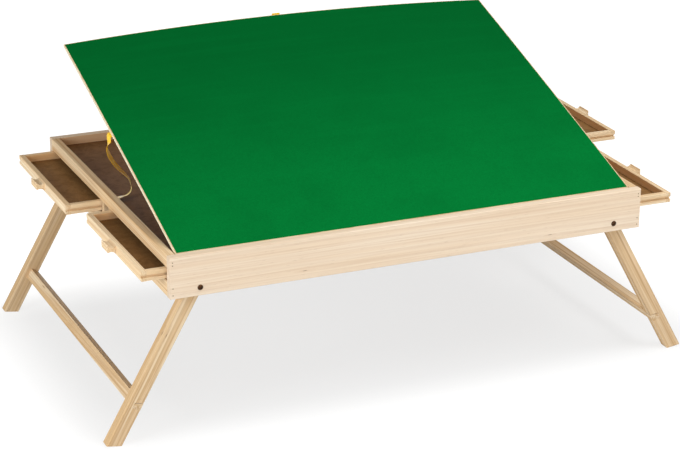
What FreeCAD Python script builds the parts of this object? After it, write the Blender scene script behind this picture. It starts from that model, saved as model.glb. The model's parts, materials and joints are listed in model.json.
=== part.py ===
import FreeCAD, Part

import math
import os

Vector = FreeCAD.Vector
os.makedirs("parts", exist_ok=True)

# A folding table for jigsaw puzzles: a shallow pine case on two folding leg frames, with
# a tilting felt-covered lid over a storage tray and four shallow drawers in its sides.
# X runs to the right along the front, Y to the back and Z up. Millimetres.

# ---------------------------------------------------------------- case
case_width = 845.0
case_depth = 645.0
case_height = 70.0
underside_height = 244.5
board_thickness = 14.0
edge_round = 1.2
top_rail_height = 21.0
bottom_rail_height = 27.0
tray_depth = 15.0
tray_floor_thickness = 4.0
floor_groove = 5.0
divider_thickness = 12.0
divider_spread = 46.0
divider_end_inset = 1.0
bay_stop_thickness = 12.0

# ---------------------------------------------------------------- drawers
drawer_top_gap = 0.9
drawer_bottom_gap = 4.1
drawer_side_gap = 2.0
drawer_front_thickness = 9.0
drawer_side_thickness = 9.0
drawer_inner_depth = 12.5
drawer_floor_thickness = 3.0
drawer_floor_groove = 2.0
drawer_back_gap = 1.5
drawer_round = 0.8
runner_groove_height = 4.4
runner_groove_depth = 4.0
runner_groove_rise = 7.6
runner_play = 0.3
pull_length = 32.0
pull_reach = 14.5
pull_round = 1.0
pull_grip_radius = 9.7
pull_grip_from_front = 8.6
pull_grip_below = 3.6
pull_dip_radius = 7.7
pull_dip_from_front = 6.2
pull_dip_above = 3.7
left_front_pulled_out = 41.5
left_rear_pulled_out = 62.0
right_front_pulled_out = 69.5
right_rear_pulled_out = 152.0

# ---------------------------------------------------------------- legs
leg_width = 24.0
leg_thickness = 20.0
leg_gap = 0.5
leg_lean = 29.3
foot_mitre = 21.0
pivot_from_end = 50.0
pivot_rise = 14.0
pivot_diameter = 5.0
pivot_play = 0.05
screw_head_diameter = 9.4
screw_head_height = 2.4
screw_recess_width = 1.4
screw_recess_depth = 1.2
screw_recess_span = 5.6
screw_recess_turn = 40.0
flange_diameter = 12.0
flange_thickness = 1.2
nut_across_flats = 8.0
nut_sides = 6
nut_height = 4.0
nut_gap = 0.25
stretcher_width = 18.2
stretcher_thickness = 14.8
stretcher_from_pivot = 216.1
tenon_shoulder = 4.8
tenon_slope = 20.0
housing_gap = 1.0
leg_stop_height = 13.5
leg_stop_gap = 0.1

# ---------------------------------------------------------------- lid
lid_tilt = 18.7
lid_board_thickness = 4.4
felt_thickness = 0.6
felt_margin = 2.0
lid_side_gap = 1.6
lid_front_gap = 3.6
lid_rear_gap = 10.5
lid_batten_width = 16.0
lid_batten_height = 9.2
lid_batten_spread = 576.0
lid_batten_front_gap = 28.0
lid_batten_rear_gap = 8.0
hinge_length = 40.0
hinge_spacing = 280.0
hinge_count = 3
leaf_thickness = 1.2
lid_leaf_width = 16.0
leaf_floor_gap = 0.4
knuckle_radius = 2.2
knuckle_gap = 0.3
knuckle_share = 1.0 / 3.0
hinge_pin_radius = 1.0
hinge_pin_play = 0.05
axis_from_apron = 2.6
axis_below_board = 2.4
hinge_screw_radius = 1.1
hinge_screw_length = 8.0
lid_screw_length = 3.6
lid_screw_from_axis = 9.6
hinge_screw_spacing = 26.0
tab_width = 15.0
tab_thickness = 1.0
tab_tuck = 10.0
tab_height = 4.0
tab_from_middle = -8.0

# ---------------------------------------------------------------- prop under the lid
prop_arm_width = 12.0
prop_arm_height = 8.0
prop_side_gap = 0.5
prop_pivot_drop = 2.5
prop_foot_drop = 3.0
prop_pin_radius = 2.0
prop_pin_play = 0.08
prop_crossbar_width = 24.0
prop_crossbar_from_pivot = 150.0
foot_from_rear = 22.0
track_width = 10.0
track_height = 9.4
track_end = 10.0
slot_play = 0.3
slot_rise = 0.6
lid_tilt_max = 24.5
track_notches = 4
notch_depth = 1.0

# ---------------------------------------------------------------- nails and ribbon
nail_radius = 0.9
nail_length = 32.0
nail_inset = 4.6
nail_drops = (8.5, 13.5)
nail_rises = (6.4, 18.0)
ribbon_width = 15.0
ribbon_thickness = 0.5
ribbon_from_hinge = 330.0
tangent_share = 0.45

# ---------------------------------------------------------------- places that follow
half_width = case_width / 2
half_depth = case_depth / 2
case_top = underside_height + case_height
inner_x = half_width - board_thickness
inner_y = half_depth - board_thickness
slot_bottom = underside_height + bottom_rail_height
slot_top = case_top - top_rail_height
tray_floor_top = case_top - tray_depth
tray_floor_bottom = tray_floor_top - tray_floor_thickness
drawer_length = half_width - bay_stop_thickness / 2 - drawer_back_gap
pulled_out = {
    ("left", "front"): left_front_pulled_out,
    ("left", "rear"): left_rear_pulled_out,
    ("right", "front"): right_front_pulled_out,
    ("right", "rear"): right_rear_pulled_out,
}
drawer_top = slot_top - drawer_top_gap
drawer_bottom = slot_bottom + drawer_bottom_gap
drawer_floor_top = drawer_top - drawer_inner_depth
drawer_near = divider_spread / 2 + drawer_side_gap
drawer_far = inner_y - drawer_side_gap
drawer_middle = (drawer_near + drawer_far) / 2
groove_z = drawer_bottom + runner_groove_rise
pivot_x = half_width - pivot_from_end
pivot_z = underside_height + pivot_rise
leg_front_y = -inner_y + leg_gap
leg_half = leg_width / 2
lean = math.radians(leg_lean)
foot_reach = (pivot_z - leg_half * math.sin(lean)) / math.cos(lean)
foot_extra = leg_width * math.tan(math.radians(foot_mitre))
hinge_y = -inner_y + axis_from_apron
lid_thickness = lid_board_thickness + felt_thickness
board_bottom = case_top - lid_thickness
hinge_z = board_bottom - axis_below_board
lid_front = -inner_y + lid_front_gap
lid_rear = inner_y - lid_rear_gap
lid_half = inner_x - lid_side_gap
prop_reach = (inner_y - foot_from_rear - hinge_y) / 2
prop_pivot_y = hinge_y + prop_reach
prop_pivot_z = hinge_z - prop_pivot_drop
foot_y = prop_pivot_y + prop_reach
foot_z = hinge_z - prop_foot_drop
batten_inner = lid_batten_spread / 2 - lid_batten_width / 2
arm_outer = batten_inner - prop_side_gap
arm_inner = arm_outer - prop_arm_width
track_outer = arm_inner - prop_side_gap

# The origin is on the floor under the middle of the whole outline, which the drawers
# that stand out push off the middle of the case.
foot_out = pivot_x + (foot_reach + foot_extra) * math.sin(lean) + leg_half * math.cos(lean)
out_left = max(left_front_pulled_out, left_rear_pulled_out)
out_right = max(right_front_pulled_out, right_rear_pulled_out)
reach_left = max(foot_out, half_width + pull_reach + out_left)
reach_right = max(foot_out, half_width + pull_reach + out_right)
case_shift = (reach_left - reach_right) / 2


def block(x0, x1, y0, y1, z0, z1):
    """A box between two corners."""
    return Part.makeBox(x1 - x0, y1 - y0, z1 - z0, Vector(x0, y0, z0))


def rod(radius, length, x, y, z, direction):
    """A round bar that starts at x, y, z."""
    return Part.makeCylinder(radius, length, Vector(x, y, z), direction)


def eased(shape, direction, radius):
    """The shape with its long edges along one direction rounded."""
    edges = [e for e in shape.Edges
             if abs(e.tangentAt(e.FirstParameter).dot(direction)) > 0.999]
    return shape.makeFillet(radius, edges)


def mirrored(shape):
    """The same piece on the right-hand side."""
    return shape.mirror(Vector(0, 0, 0), Vector(1, 0, 0))


def turned(shape, y, z, degrees):
    """The shape turned about a line along X, its rear upwards."""
    copy = shape.copy()
    copy.rotate(Vector(0, y, z), Vector(1, 0, 0), degrees)
    return copy


def tilted(shape):
    """A piece of the closed lid, in its open place."""
    return turned(shape, hinge_y, hinge_z, lid_tilt)


def save(name, *shapes):
    """One node: its solids, moved into the frame of the whole table."""
    group = Part.makeCompound([s.copy() for s in shapes]) if len(shapes) > 1 else shapes[0].copy()
    group.translate(Vector(case_shift, 0, 0))
    group.exportStep("parts/" + name + ".step")


X, Y, Z = Vector(1, 0, 0), Vector(0, 1, 0), Vector(0, 0, 1)


# ---------------------------------------------------------------- fasteners of the case
def case_nail(side, row, z):
    """A nail through an apron's end into the end of a side rail."""
    x = side * (half_width - nail_inset)
    return rod(nail_radius, nail_length, x, row * half_depth, z, Vector(0, -row, 0))


nails = [case_nail(side, row, z) for side in (-1, 1) for row in (-1, 1)
         for z in [case_top - d for d in nail_drops] + [underside_height + r for r in nail_rises]]


def pivot_screw(side, row):
    """The cross-head screw that a leg turns on; its head is outside the apron."""
    length = board_thickness + leg_gap + leg_thickness + nut_gap + flange_thickness + nut_height
    x, y = side * pivot_x, row * half_depth
    inward = Vector(0, -row, 0)
    shank = rod(pivot_diameter / 2, length, x, y, pivot_z, inward)
    head = rod(screw_head_diameter / 2, screw_head_height, x, y, pivot_z, Vector(0, row, 0))
    rim = [e for e in head.Edges if e.Closed and abs(e.BoundBox.YMin - y) > screw_head_height / 2]
    head = head.makeFillet(screw_head_height / 2, rim)
    tip = y + row * (screw_head_height - screw_recess_depth / 2)
    arm, half = screw_recess_span / 2, screw_recess_width / 2
    depth = screw_recess_depth / 2
    for a, b in ((arm, half), (half, arm)):
        cross = block(x - a, x + a, tip - depth, tip + depth, pivot_z - b, pivot_z + b)
        cross.rotate(Vector(x, y, pivot_z), Y, screw_recess_turn)
        head = head.cut(cross)
    return shank.fuse(head).removeSplitter()


def pivot_nut(side, row):
    """A flanged nut on the inner end of a pivot screw."""
    x, inward = side * pivot_x, Vector(0, -row, 0)
    y = row * (inner_y - leg_gap - leg_thickness - nut_gap)
    flange = rod(flange_diameter / 2, flange_thickness, x, y, pivot_z, inward)
    radius = nut_across_flats / 2 / math.cos(math.pi / nut_sides)
    turns = [2 * math.pi * i / nut_sides for i in range(nut_sides + 1)]
    rim = [Vector(x + radius * math.cos(t), y, pivot_z + radius * math.sin(t)) for t in turns]
    hexagon = Part.Face(Part.makePolygon(rim))
    body = hexagon.extrude(inward * (flange_thickness + nut_height))
    bore = rod(pivot_diameter / 2, flange_thickness + nut_height, x, y, pivot_z, inward)
    return flange.fuse(body).removeSplitter().cut(bore)


case_corners = [(side, row) for side in (-1, 1) for row in (-1, 1)]


def hinge_places():
    """Where each lid hinge starts along X."""
    first = -hinge_spacing * (hinge_count - 1) / 2
    return [first + hinge_spacing * i - hinge_length / 2 for i in range(hinge_count)]


def apron_hinge_screws():
    """Screws that hold the lid hinges on the front apron."""
    z = (tray_floor_top + leaf_floor_gap + hinge_z) / 2
    y = -inner_y + leaf_thickness
    middle = hinge_length / 2
    return [rod(hinge_screw_radius, hinge_screw_length, x + middle + s * hinge_screw_spacing / 2,
                y, z, Vector(0, -1, 0)) for x in hinge_places() for s in (-1, 1)]


def lid_hinge_screws():
    """Screws that hold the lid hinges under the lid board."""
    z = board_bottom - leaf_thickness
    y = hinge_y + lid_screw_from_axis
    middle = hinge_length / 2
    return [rod(hinge_screw_radius, lid_screw_length, x + middle + s * hinge_screw_spacing / 2,
                y, z, Z) for x in hinge_places() for s in (-1, 1)]


# ---------------------------------------------------------------- case
def apron(row):
    """A front or rear board, as tall as the case, that covers the ends of the rails."""
    y0, y1 = sorted((row * half_depth, row * inner_y))
    board = block(-half_width, half_width, y0, y1, underside_height, case_top)
    board = eased(board, X, edge_round)
    groove = block(-inner_x - floor_groove, inner_x + floor_groove,
                   min(row * inner_y, row * (inner_y + floor_groove)),
                   max(row * inner_y, row * (inner_y + floor_groove)),
                   tray_floor_bottom, tray_floor_top)
    cuts = [groove] + nails + [rod(pivot_diameter / 2, board_thickness, s * pivot_x,
                                   row * half_depth, pivot_z, Vector(0, -row, 0)) for s in (-1, 1)]
    if row < 0:
        cuts += apron_hinge_screws()
    return board.cut(Part.makeCompound(cuts))


def top_rail():
    """The left upper rail, grooved for the tray floor."""
    rail = block(-half_width, -inner_x, -inner_y, inner_y, slot_top, case_top)
    rail = eased(rail, Y, edge_round)
    groove = block(-inner_x - floor_groove, -inner_x, -inner_y, inner_y,
                   tray_floor_bottom, tray_floor_top)
    return rail.cut(Part.makeCompound([groove] + nails))


def bottom_rail():
    """The left lower rail."""
    rail = block(-half_width, -inner_x, -inner_y, inner_y, underside_height, slot_bottom)
    return eased(rail, Y, edge_round).cut(Part.makeCompound(nails))


def runner(row, wall, towards):
    """A strip along a wall of the drawer bays; the drawers' side grooves slide on it."""
    reach = drawer_side_gap + runner_groove_depth - runner_play
    y0, y1 = sorted((wall * row, (wall + towards * reach) * row))
    half = runner_groove_height / 2 - runner_play
    return block(-inner_x, inner_x, y0, y1, groove_z - half, groove_z + half)


def divider(row):
    """A long batten between the front and the rear drawers."""
    y0, y1 = sorted((row * divider_spread / 2, row * (divider_spread / 2 - divider_thickness)))
    end = half_width - divider_end_inset
    return eased(block(-end, end, y0, y1, slot_bottom, slot_top), X, edge_round)


def bay_stop(row):
    """A short board at mid width: the drawers meet it, and it carries the tray floor."""
    y0, y1 = sorted((row * divider_spread / 2, row * inner_y))
    half = bay_stop_thickness / 2
    stop = block(-half, half, y0, y1, slot_bottom, tray_floor_bottom)
    strips = [runner(row, inner_y, -1), runner(row, divider_spread / 2, 1)]
    return stop.cut(Part.makeCompound(strips))


def leg_stop():
    """The left bevelled batten that an open leg frame leans against."""
    outer = -pivot_x - (leg_half + leg_stop_gap) / math.cos(lean)
    low = outer - pivot_rise * math.tan(lean)
    high = low + leg_stop_height * math.tan(lean)
    top = underside_height + leg_stop_height
    points = [Vector(-inner_x, -inner_y, underside_height), Vector(low, -inner_y, underside_height),
              Vector(high, -inner_y, top), Vector(-inner_x, -inner_y, top)]
    return Part.Face(Part.makePolygon(points + points[:1])).extrude(Y * (2 * inner_y))


def prop_track():
    """The left slotted and notched strip on the tray floor that the prop's foot runs in."""
    y_near = hinge_y + 2 * prop_reach * math.cos(math.radians(lid_tilt_max))
    half = prop_pin_radius + slot_play
    z0, z1 = foot_z - half, foot_z + half + slot_rise
    body = block(-track_outer, -track_outer + track_width, y_near - half - track_end,
                 foot_y + half + track_end, tray_floor_top, tray_floor_top + track_height)
    slot = block(-track_outer, -track_outer + track_width, y_near - half, foot_y + half, z0, z1)
    body = body.cut(slot)
    pitch = (foot_y - y_near) / (track_notches - 1)
    for i in range(track_notches):
        body = body.cut(rod(half, track_width, -track_outer, y_near + pitch * i,
                            foot_z - notch_depth, X))
    return body


save("front_apron", apron(-1))
save("rear_apron", apron(1))
save("left_top_rail", top_rail())
save("right_top_rail", mirrored(top_rail()))
save("left_bottom_rail", bottom_rail())
save("right_bottom_rail", mirrored(bottom_rail()))
save("tray_floor", block(-inner_x - floor_groove, inner_x + floor_groove, -inner_y - floor_groove,
                         inner_y + floor_groove, tray_floor_bottom, tray_floor_top))
save("front_divider", divider(-1))
save("rear_divider", divider(1))
save("front_apron_runner", runner(-1, inner_y, -1))
save("front_divider_runner", runner(-1, divider_spread / 2, 1))
save("rear_divider_runner", runner(1, divider_spread / 2, 1))
save("rear_apron_runner", runner(1, inner_y, -1))
save("front_bay_stop", bay_stop(-1))
save("rear_bay_stop", bay_stop(1))
save("left_leg_stop", leg_stop())
save("right_leg_stop", mirrored(leg_stop()))
save("left_prop_track", prop_track())
save("right_prop_track", mirrored(prop_track()))
save("case_nails", *nails)
save("leg_pivot_screws", *[pivot_screw(side, row) for side, row in case_corners])
save("leg_pivot_nuts", *[pivot_nut(side, row) for side, row in case_corners])


# ---------------------------------------------------------------- leg frames
def tenon(y, length, gap):
    """The end of a stretcher, its upper side cut on the slant, with a gap above it."""
    x0, x1 = leg_half - stretcher_thickness, leg_half
    low = -stretcher_from_pivot - stretcher_width / 2
    high = low + stretcher_width - tenon_shoulder + gap
    fall = stretcher_thickness * math.tan(math.radians(tenon_slope))
    outline = [Vector(x0, y, low), Vector(x1, y, low), Vector(x1, y, high),
               Vector(x0, y, high - fall), Vector(x0, y, low)]
    return Part.Face(Part.makePolygon(outline)).extrude(Y * length)


def leg(row):
    """A left leg, leaning outwards, with a round top, a mitred foot and a housing."""
    y = leg_front_y if row < 0 else -leg_front_y - leg_thickness
    shaft = block(-leg_half, leg_half, y, y + leg_thickness, -foot_reach - foot_extra, 0)
    shaft = eased(shaft, Z, edge_round)
    shaft = shaft.fuse(rod(leg_half, leg_thickness, 0, y, 0, Y)).removeSplitter()
    below = -foot_reach - 2 * foot_extra
    wedge = [Vector(leg_half, y, -foot_reach), Vector(-leg_half, y, -foot_reach - foot_extra),
             Vector(-leg_half, y, below), Vector(leg_half, y, below)]
    shaft = shaft.cut(Part.Face(Part.makePolygon(wedge + wedge[:1])).extrude(Y * leg_thickness))
    shaft = shaft.cut(tenon(y, leg_thickness, housing_gap))
    return shaft.cut(rod(pivot_diameter / 2 + pivot_play, leg_thickness, 0, y, 0, Y))


def stretcher():
    """The left bar between two legs; its narrower ends stand in the legs' housings."""
    x0, x1 = leg_half - stretcher_thickness, leg_half
    back = -leg_front_y - leg_thickness
    half = stretcher_width / 2
    bar = block(x0, x1, -back, back, -stretcher_from_pivot - half, -stretcher_from_pivot + half)
    ends = tenon(leg_front_y, -2 * leg_front_y, 0.0)
    return bar.fuse(ends).removeSplitter()


def leaning(shape):
    """A piece of an upright leg frame, opened to its leaning place on the left."""
    copy = shape.copy()
    copy.rotate(Vector(0, 0, 0), Y, leg_lean)
    copy.translate(Vector(-pivot_x, 0, pivot_z))
    return copy


for row, word in ((-1, "front"), (1, "rear")):
    save("left_" + word + "_leg", leaning(leg(row)))
    save("right_" + word + "_leg", mirrored(leaning(leg(row))))
save("left_stretcher", leaning(stretcher()))
save("right_stretcher", mirrored(leaning(stretcher())))


# ---------------------------------------------------------------- lid
def lid_board():
    """The plywood board of the lid, closed."""
    board = block(-lid_half, lid_half, lid_front, lid_rear,
                  board_bottom, board_bottom + lid_board_thickness)
    pins = lid_hinge_screws()
    return board.cut(Part.makeCompound(pins))


def felt():
    """The green felt on the board; a narrow margin of wood shows round it."""
    edge = felt_margin
    return block(-lid_half + edge, lid_half - edge, lid_front + edge, lid_rear - edge,
                 case_top - felt_thickness, case_top)


def prop_pin():
    """The left pin that joins a prop arm to its batten."""
    length = lid_batten_width + prop_side_gap + prop_arm_width
    return rod(prop_pin_radius, length, -batten_inner - lid_batten_width,
               prop_pivot_y, prop_pivot_z, X)


def lid_batten():
    """The left batten under the lid: it stiffens the board and carries the prop."""
    batten = block(-batten_inner - lid_batten_width, -batten_inner,
                   lid_front + lid_batten_front_gap, lid_rear - lid_batten_rear_gap,
                   board_bottom - lid_batten_height, board_bottom)
    return batten.cut(prop_pin())


def knuckles(x, middle, extra=0.0):
    """The barrel parts of one hinge: the middle one, or the two outer ones."""
    inner = hinge_length * knuckle_share
    gap = knuckle_gap
    if middle:
        spans = [(inner + gap - extra, 2 * inner - gap + extra)]
    else:
        spans = [(-extra, inner + extra), (2 * inner - extra, hinge_length + extra)]
    return Part.makeCompound([rod(knuckle_radius + extra, b - a, x + a, hinge_y, hinge_z, X)
                              for a, b in spans])


def hinge_bore(x):
    """The hole for one hinge pin."""
    return rod(hinge_pin_radius + hinge_pin_play, hinge_length, x, hinge_y, hinge_z, X)


def apron_leaf(x):
    """The hinge half that is screwed to the front apron."""
    plate = block(x, x + hinge_length, -inner_y, -inner_y + leaf_thickness,
                  tray_floor_top + leaf_floor_gap, hinge_z)
    plate = plate.cut(knuckles(x, True, knuckle_gap))
    plate = plate.cut(Part.makeCompound(apron_hinge_screws()))
    return plate.fuse(knuckles(x, False)).removeSplitter().cut(
        rod(hinge_pin_radius, hinge_length, x, hinge_y, hinge_z, X))


def lid_leaf(x):
    """The hinge half that is screwed under the lid board, closed."""
    plate = block(x, x + hinge_length, hinge_y, hinge_y + lid_leaf_width,
                  board_bottom - leaf_thickness, board_bottom)
    plate = plate.cut(knuckles(x, False, knuckle_gap))
    plate = plate.cut(Part.makeCompound(lid_hinge_screws()))
    return plate.fuse(knuckles(x, True)).removeSplitter().cut(hinge_bore(x))


def pull_tab():
    """A short strip of ribbon at the rear edge of the lid, to lift it by."""
    left, right = tab_from_middle - tab_width / 2, tab_from_middle + tab_width / 2
    low = board_bottom - tab_thickness
    tuck = block(left, right, lid_rear - tab_tuck, lid_rear + tab_thickness, low, board_bottom)
    loop = block(left, right, lid_rear, lid_rear + tab_thickness, low, case_top + tab_height)
    return tuck.fuse(loop).removeSplitter()


save("lid_board", tilted(lid_board()))
save("lid_felt", tilted(felt()))
save("left_lid_batten", tilted(lid_batten()))
save("right_lid_batten", tilted(mirrored(lid_batten())))
save("hinge_apron_leaves", *[apron_leaf(x) for x in hinge_places()])
save("hinge_apron_screws", *apron_hinge_screws())
save("hinge_pins", *[rod(hinge_pin_radius, hinge_length, x, hinge_y, hinge_z, X)
                     for x in hinge_places()])
save("hinge_lid_leaves", *[tilted(lid_leaf(x)) for x in hinge_places()])
save("hinge_lid_screws", *[tilted(s) for s in lid_hinge_screws()])
save("lid_pull_tab", tilted(pull_tab()))
save("prop_pins", tilted(prop_pin()), tilted(mirrored(prop_pin())))


# ---------------------------------------------------------------- prop
def propped(shape):
    """A piece of the folded prop, swung down twice as far as the lid is tilted."""
    swung = turned(shape, prop_pivot_y, prop_pivot_z, -2 * lid_tilt)
    return tilted(swung)


def prop_arm():
    """The left prop arm, folded flat under the lid."""
    half = prop_arm_height / 2
    slope = math.degrees(math.atan((prop_foot_drop - prop_pivot_drop) / prop_reach))
    arm = block(-arm_outer, -arm_inner, prop_pivot_y, prop_pivot_y + prop_reach,
                prop_pivot_z - half, prop_pivot_z + half)
    for y in (prop_pivot_y, prop_pivot_y + prop_reach):
        arm = arm.fuse(rod(half, prop_arm_width, -arm_outer, y, prop_pivot_z, X))
    arm = arm.removeSplitter()
    arm = arm.cut(rod(prop_pin_radius + prop_pin_play, prop_arm_width, -arm_outer,
                      prop_pivot_y, prop_pivot_z, X))
    arm = arm.cut(rod(prop_pin_radius, prop_arm_width, -arm_outer,
                      prop_pivot_y + prop_reach, prop_pivot_z, X))
    return turned(arm, prop_pivot_y, prop_pivot_z, -slope)


def prop_crossbar():
    """The lath that keeps the two prop arms apart."""
    half, middle = prop_arm_height / 2, prop_pivot_y + prop_crossbar_from_pivot
    return block(-arm_inner, arm_inner, middle - prop_crossbar_width / 2,
                 middle + prop_crossbar_width / 2, prop_pivot_z - half, prop_pivot_z + half)


save("left_prop_arm", propped(prop_arm()))
save("right_prop_arm", propped(mirrored(prop_arm())))
save("prop_crossbar", propped(prop_crossbar()))
save("prop_foot_rod", propped(rod(prop_pin_radius, 2 * arm_outer, -arm_outer, foot_y, foot_z, X)))


# ---------------------------------------------------------------- drawers
def side_groove(row, wall, towards):
    """The groove in a drawer's side that a runner lies in, as long as the whole drawer."""
    y0, y1 = sorted((wall * row, (wall + towards * runner_groove_depth) * row))
    half = runner_groove_height / 2
    return block(-half_width, 0, y0, y1, groove_z - half, groove_z + half)


def drawer_pieces(row):
    """A left drawer, pushed right in: front, sides and back, floor and pull."""
    x0, x1 = -half_width, -half_width + drawer_length
    inside = x0 + drawer_front_thickness
    back = x1 - drawer_side_thickness
    y0, y1 = sorted((row * drawer_near, row * drawer_far))
    grooves = Part.makeCompound([side_groove(row, drawer_near, 1), side_groove(row, drawer_far, -1)])
    floor_bottom = drawer_floor_top - drawer_floor_thickness
    lip, wall = drawer_floor_groove, drawer_side_thickness
    floor = block(inside - lip, back + lip, y0 + wall - lip, y1 - wall + lip,
                  floor_bottom, drawer_floor_top)
    front = eased(block(x0, inside, y0, y1, drawer_bottom, drawer_top), Y, drawer_round)
    front = front.cut(grooves).cut(floor)
    boards = [block(inside, x1, y0, y0 + wall, drawer_bottom, drawer_top),
              block(inside, x1, y1 - wall, y1, drawer_bottom, drawer_top)]
    boards = [eased(b, X, drawer_round).cut(grooves).cut(floor) for b in boards]
    end = block(back, x1, y0 + wall, y1 - wall, drawer_bottom, drawer_top)
    boards.append(eased(end, Y, drawer_round).cut(floor))
    return front, boards, floor, drawer_pull(x0, row * drawer_middle)


def drawer_pull(x, y):
    """A finger pull on a left drawer front: hollow above and below, thick at its lip."""
    start = y - pull_length / 2
    pull = block(x - pull_reach, x, start, start + pull_length, drawer_bottom, drawer_top)
    grip = rod(pull_grip_radius, pull_length, x - pull_grip_from_front, start,
               drawer_bottom - pull_grip_below, Y)
    dip = rod(pull_dip_radius, pull_length, x - pull_dip_from_front, start,
              drawer_top + pull_dip_above, Y)
    pull = pull.cut(grip).cut(dip)
    outer = [e for e in pull.Edges if e.BoundBox.XMax < x - pull_reach + pull_round / 2]
    return pull.makeFillet(pull_round, outer)


for (side, row_word), out in pulled_out.items():
    row = -1 if row_word == "front" else 1
    front, boards, floor, pull = drawer_pieces(row)
    name = side + "_" + row_word + "_drawer"
    pieces = {"front": [front], "frame": boards, "floor": [floor], "pull": [pull]}
    for word, solids in pieces.items():
        placed = [s.copy() for s in solids]
        for s in placed:
            s.translate(Vector(-out, 0, 0))
        if side == "right":
            placed = [mirrored(s) for s in placed]
        save(name + "_" + word, *placed)


# ---------------------------------------------------------------- ribbon
def rounded_path(points):
    """Straight runs joined by tangent arcs, each as large as its two runs allow."""
    edges, radii, start = [], [], points[0]
    for i in range(1, len(points) - 1):
        into, out = points[i] - points[i - 1], points[i + 1] - points[i]
        half_turn = into.getAngle(out) / 2
        cut = tangent_share * min(into.Length, out.Length)
        a = points[i] - into.normalize() * cut
        b = points[i] + out.normalize() * cut
        towards = (a + b) * 0.5 - points[i]
        radius = cut / math.tan(half_turn)
        centre = points[i] + towards.normalize() * (cut / math.sin(half_turn))
        middle = centre + (points[i] - centre).normalize() * radius
        edges += [Part.makeLine(start, a), Part.Arc(a, middle, b).toShape()]
        radii.append(round(radius, 1))
        start = b
    print("ribbon radii", radii)
    return Part.Wire(edges + [Part.makeLine(start, points[-1])])


# The check ribbon hangs slack from under the lid's left edge to the foot of the left rail,
# and its line lies across the table. Each point is measured from the rail's inner face,
# and from the lid's underside at the ribbon's front edge or from the tray floor.
ribbon_from_lid = [(9.0, -1.0), (1.0, -2.0)]
ribbon_from_floor = [(-2.0, 93.0), (-1.0, 77.0), (6.0, 59.0), (17.0, 41.0),
                     (29.0, 26.0), (31.0, 13.0), (24.0, 4.6), (12.0, 1.2), (2.0, 0.8)]


def ribbon():
    """The slack ribbon between the lid and the case."""
    tilt = math.radians(lid_tilt)
    front_from_hinge = ribbon_from_hinge - ribbon_width / math.cos(tilt)
    y = hinge_y + front_from_hinge * math.cos(tilt) - axis_below_board * math.sin(tilt)
    under_lid = hinge_z + front_from_hinge * math.sin(tilt) + axis_below_board * math.cos(tilt)
    route = [Vector(-inner_x + x, y, under_lid + z) for x, z in ribbon_from_lid]
    route += [Vector(-inner_x + x, y, tray_floor_top + z) for x, z in ribbon_from_floor]
    path = rounded_path(route)
    start, half = route[0], ribbon_thickness / 2
    across = (route[1] - route[0]).normalize().cross(Y) * half
    section = Part.makePolygon([start - across, start + across,
                                start + across + Y * ribbon_width,
                                start - across + Y * ribbon_width, start - across])
    sweep = path.makePipeShell([section], True, True)
    section_area = ribbon_width * ribbon_thickness
    print("ribbon length", round(path.Length, 1), "volume", round(sweep.Volume, 1),
          "section times length", round(section_area * path.Length, 1))
    return sweep


save("check_ribbon", ribbon())
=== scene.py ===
import json
import math
import random

import bmesh
import bpy
from mathutils import Matrix, Vector

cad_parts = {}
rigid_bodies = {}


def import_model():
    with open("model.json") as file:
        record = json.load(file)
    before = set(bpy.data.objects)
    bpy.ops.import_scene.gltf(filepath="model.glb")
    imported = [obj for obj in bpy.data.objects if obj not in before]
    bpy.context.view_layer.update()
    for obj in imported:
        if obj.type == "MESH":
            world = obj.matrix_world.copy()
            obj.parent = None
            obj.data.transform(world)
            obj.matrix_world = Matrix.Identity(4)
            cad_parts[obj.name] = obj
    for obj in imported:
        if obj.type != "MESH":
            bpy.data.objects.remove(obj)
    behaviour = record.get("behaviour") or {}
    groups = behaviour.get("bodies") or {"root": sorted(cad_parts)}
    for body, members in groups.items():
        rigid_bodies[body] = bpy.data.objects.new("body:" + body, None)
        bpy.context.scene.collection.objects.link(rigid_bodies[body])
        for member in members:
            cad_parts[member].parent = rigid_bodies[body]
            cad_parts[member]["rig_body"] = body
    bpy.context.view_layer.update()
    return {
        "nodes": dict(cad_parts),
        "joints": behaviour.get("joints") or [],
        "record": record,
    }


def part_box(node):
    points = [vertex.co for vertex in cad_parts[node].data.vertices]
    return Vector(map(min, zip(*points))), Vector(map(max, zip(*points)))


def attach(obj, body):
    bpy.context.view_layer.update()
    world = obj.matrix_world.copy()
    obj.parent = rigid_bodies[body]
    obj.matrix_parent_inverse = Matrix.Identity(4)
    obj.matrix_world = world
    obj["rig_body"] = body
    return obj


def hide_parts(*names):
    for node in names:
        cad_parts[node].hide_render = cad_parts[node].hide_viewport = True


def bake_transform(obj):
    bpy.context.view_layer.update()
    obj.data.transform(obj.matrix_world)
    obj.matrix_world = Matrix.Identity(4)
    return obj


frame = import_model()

nodes = frame["nodes"]
slotOf = {part["node"]: part["material_slot"] for part in frame["record"]["subparts"]}
scene = bpy.context.scene
mm = 0.001


def added(name, data):
    made = bpy.data.objects.new(name, data)
    scene.collection.objects.link(made)
    return made


def linear(red, green, blue):
    # an sRGB colour of 0 to 255, as the linear values that Blender mixes
    def one(value):
        value /= 255
        return value / 12.92 if value <= 0.04045 else ((value + 0.055) / 1.055) ** 2.4
    return (one(red), one(green), one(blue), 1.0)


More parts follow.
